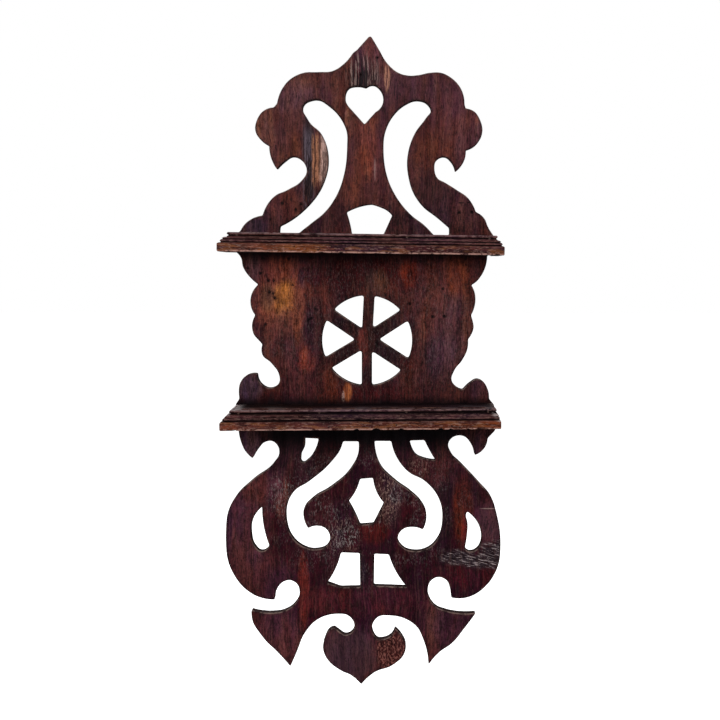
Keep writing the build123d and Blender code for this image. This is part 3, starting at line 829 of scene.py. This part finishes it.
board = dict(
    gap=1.2 * mm, grid=2.3 * mm, backGrid=5 * mm,
    rings=(.35 * mm, .9 * mm, 2 * mm),
    levels=(.12, .4, .7, .9),
    leastLoop=25 * mm,
    easing=1,
    arris=.5 * mm,
    rubbed=1.1 * mm,
    litSill=.5 * mm,                         # width of the painted highlight along the lips of walls that face up
    saw=.15 * mm,
    housing=3 * mm,
    holeDepth=1.6 * mm,
    crack=(-49.6, 474, 514, .35),         # across, from, to, half width
    crackDepth=.5 * mm,
    knot=(110, 126, 22, 11),              # across, height, reach both ways
    knotRise=.35 * mm,
    knotArea=((84, 116), (131, 146)),     # where the grid is finer, for its lines
    fine=1.1 * mm,
    seam=(-131, 131, 1.4),                # points along a shelf's edges: from, to, step
    seamGap=.02 * mm,
    faceDepth=2.5 * mm,                   # points further back than this are not on the face
)

boardPlace = Matrix(((1, 0, 0, 0), (0, 0, -1, 0), (0, 1, 0, 0), (0, 0, 0, 1)))   # x across, y up, z to the front
shelfPlaces = {name: shelfPlace(name + "_shelf_board") for name in ("upper", "lower")}


def shelfHeight(points, name):
    # how far points of the board's front lie above the underside of a shelf
    place, thick = shelfPlaces[name]
    up, start = place.col[2], place.translation
    return (points[:, 0] - start.x) * up.x + (points[:, 1] - start.z) * up.z, thick


def boardFrontRelief(points, edge):
    low = .12 * mm * (1 + ripple(points, (22 * mm, 90 * mm, 1), 1))
    for name in shelfPlaces:
        height, thick = shelfHeight(points, name)
        low = low + board["housing"] * ((height > 0) & (height < thick))
    for x, h, radius in wormHoles:
        away = np.hypot(points[:, 0] - x * mm, points[:, 1] - tip - h * mm)
        low = low + board["holeDepth"] * (away < radius * .8 * mm)
    x, first, last, halfWidth = board["crack"]
    off = np.abs(points[:, 0] - x * mm - .5 * mm * ripple(points[:, 1:], (9 * mm, 1, 1), 4))
    share = np.clip((points[:, 1] - tip - first * mm) / ((last - first) * mm), 0, 1)
    low = low + board["crackDepth"] * np.clip(1 - off / (halfWidth * 1.4 * mm), 0, 1) * np.sin(math.pi * share)
    x, h, reachX, reachH = board["knot"]
    across, up = (points[:, 0] - x * mm) / (reachX * mm), (points[:, 1] - tip - h * mm) / (reachH * mm)
    knot = np.clip(1.3 - np.hypot(across, up), 0, 1)
    return low + knot * board["knotRise"] * (1 + ripple(points, (9 * mm, 2.2 * mm, 1), 6))


def boardBackRelief(points, edge):
    return .1 * mm * (1 + ripple(points, (60 * mm, 12 * mm, 1), 2))


def boardDetail():
    # points for what is finer than the grid, and a test for where the grid keeps off them
    crackX, first, last, halfWidth = board["crack"]
    (knotLeft, knotLow), (knotRight, knotHigh) = board["knotArea"]
    more = []
    for place, thick in shelfPlaces.values():
        x = np.arange(*board["seam"]) * mm
        for level in (0, thick):
            for off in (-board["seamGap"], board["seamGap"]):
                height = place.translation.z + (x - place.translation.x) * place[2][0] / place[0][0]
                more.append(np.column_stack([x, height + (level + off) / place[0][0]]))
    for x, h, radius in wormHoles:
        for share, count in ((0, 1), (.72, 7), (1, 9)):
            angle = np.arange(count) * math.tau / count
            ring = radius * share * np.cos(angle), radius * share * np.sin(angle)
            more.append(np.column_stack([x + ring[0], h + tip / mm + ring[1]]) * mm)
    h = np.arange(first, last, 1.1)
    for off in (-1.2, -.4, 0, .4, 1.2):
        more.append(np.column_stack([crackX + off * halfWidth * 1.4 + 0 * h, h + tip / mm]) * mm)
    more.append(honeycomb((knotLeft * mm, tip + knotLow * mm), (knotRight * mm, tip + knotHigh * mm), board["fine"]))

    def keepOff(points):
        off = np.zeros(len(points), bool)
        for name in shelfPlaces:
            height, thick = shelfHeight(points, name)
            off |= (np.abs(height) < board["fine"]) | (np.abs(height - thick) < board["fine"])
        for x, h, radius in wormHoles:
            off |= np.hypot(points[:, 0] - x * mm, points[:, 1] - tip - h * mm) < (radius + .5) * mm
        h = points[:, 1] - tip
        off |= (np.abs(points[:, 0] - crackX * mm) < .9 * mm) & (h > first * mm) & (h < last * mm)
        off |= (points[:, 0] > knotLeft * mm) & (h > knotLow * mm) & (h < knotHigh * mm)
        return off

    return np.vstack(more), keepOff


points, faces, marks = plank("backboard", boardPlace, boardThick, board, boardFrontRelief, boardBackRelief,
                             boardDetail())
front = points[:, 1] < boardFront + board["faceDepth"]
# painted shade inside the worm holes on the face
holeShade = np.zeros(len(points))
for x, h, radius in wormHoles:
    holeShade[front & (np.hypot(points[:, 0] - x * mm, points[:, 2] - tip - h * mm) < radius * 1.02 * mm)] = 1
marks["holeShade"] = holeShade
makePiece("pierced_board", points, faces, marks, boardTimber, "board_wood", "backboard")
print("backboard cut", len(points), "points")

# shelves

shelf = dict(
    gap=1.6 * mm, grid=4 * mm, backGrid=6 * mm,
    rings=(.4 * mm, 1.1 * mm),
    levels=(.12, .5, .88),
    leastLoop=25 * mm,
    easing=1,
    arris=.45 * mm,
    rubbed=1.2 * mm,
    litSill=.5 * mm,
    saw=.1 * mm,
)

moulding = dict(
    station=1.5 * mm,
    wear=.05 * mm,
    blunt=.55 * mm,
    bite=.45,
    deepest=1.3 * mm,                     # no wear or nick goes further in
    gap=.06 * mm,                         # left open at the mitres
    fillet=10.5,                          # how far the moulding's foot stands out, as in its section
    height=17.6,                          # of the section
    grooves={"upper": (14.75, 11.45, 8.7), "lower": (14.9, 14.3, 8.7)},   # heights of the grooves, which get painted shade
    grooveShadeWidth={"upper": .55, "lower": .8},    # and how wide that painted shade is
    nicks={                               # along from the left, height, size
        "upper": [(9, 0, 1.2), (38, 17, 1), (85, 0, 1), (101, 0, 1.4), (148, 17.5, 1.1), (176, 0, 1), (229, 0, 1.2)],
        "lower": [(11, 0, 1.3), (60, 17.4, 1.2), (115, 0, 1.4), (131, 0, 2.7), (152, 0, 1.6), (185.7, 0, 1.5),
                  (193.7, 0, 1.4), (208.5, 0, 1.4), (218.2, 0, 1.5), (200, 17.5, 1.4)],
    },
)

# section of the moulding: out from the shelf, up from the moulding's foot
section = [
    (0, 17.6), (.9, 17.58), (1.7, 17.5), (2.3, 17.2), (2.62, 16.7), (2.68, 16), (2.5, 15.5), (2, 15.2),
    (1.4, 14.95), (1.3, 14.6), (1.9, 14.35), (2.5, 14.05), (2.66, 13.7), (2.9, 13.36), (3.5, 13.3), (4.3, 13.2),
    (5.1, 12.95), (5.9, 12.5), (6.4, 12.1), (6.45, 11.8), (5.9, 11.6), (5.8, 11.3), (6.6, 11.15), (7.3, 10.9),
    (7.85, 10.3), (8.15, 9.7), (8.1, 9.25), (7.5, 8.95), (7.3, 8.6), (7.9, 8.35), (9.2, 8.05), (9.95, 7.65),
    (10.35, 7.2), (10.45, 6.5), (10.45, 5.5), (10.46, 4.5), (10.46, 3.5), (10.45, 2.5), (10.45, 1.6),
    (10.4, .9), (10.15, .35), (9.6, .08), (8.4, .05), (7, .05), (5, .05), (3, .05), (1, .05), (0, .05), (0, 2),
    (0, 5), (0, 8), (0, 11), (0, 14),
]


def shelfTop(points, edge):
    return .12 * mm * (1 + ripple(points, (70 * mm, 9 * mm, 1), 11)) + .08 * mm * np.exp(-(edge / (6 * mm)) ** 2)


def shelfUnder(points, edge):
    return .08 * mm * (1 + ripple(points, (60 * mm, 10 * mm, 1), 12))


def makeShelf(name, place, thick):
    points, faces, marks = plank(name + "_shelf_board", place, thick, shelf, shelfTop, shelfUnder)
    makePiece(name + "_spoon_shelf", points, faces, marks, shelfTimber, "shelf_wood", name + "_shelf_board")
    low, high = localBox(name + "_shelf_board", place)
    left, depth, right = low[0], -low[1], high[0]
    foot = thick - moulding["height"] * mm
    # how far the returns stand out past the shelf, as a share of the front's
    shares = {"left": (left - localBox(name + "_left_return", place)[0][0]) / (moulding["fillet"] * mm),
              "right": (localBox(name + "_right_return", place)[1][0] - right) / (moulding["fillet"] * mm)}
    setup = dict(moulding, seed=len(name) + ord(name[0]))
    for key in ("nicks", "grooves", "grooveShadeWidth"):
        setup[key] = moulding[key][name]

    def layFront(share, out, up):
        first, last = left - out * shares["left"] + moulding["gap"], right + out * shares["right"] - moulding["gap"]
        return place @ Vector((first + (last - first) * share, -depth - out, foot + up))

    points, faces, marks = strip(layFront, right - left, section, setup)
    makePiece(name + "_moulding_front", points, faces, marks, frontTimber, "moulding_wood", name + "_front_moulding")

    for side, end, way in (("left", left, -1), ("right", right, 1)):
        def layReturn(share, out, up):
            across = end + way * out * shares[side]
            return place @ Vector((across, -share * (depth + out - moulding["gap"]), foot + up))

        setup = dict(setup, seed=len(name + side) * 3 + ord(name[0]), nicks=[])
        points, faces, marks = strip(layReturn, depth, section, setup)
        makePiece(name + "_moulding_" + side, points, faces, marks, returnTimber, "moulding_wood",
                  name + "_" + side + "_return")
    print(name, "shelf made")


for name, (place, thick) in shelfPlaces.items():
    makeShelf(name, place, thick)

# nails and pins

for node in ("upper_shelf_nails", "lower_shelf_nails", "upper_moulding_pins", "lower_moulding_pins"):
    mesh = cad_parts[node].data
    mesh.materials.clear()
    mesh.materials.append(iron)
print("nails and pins dressed")
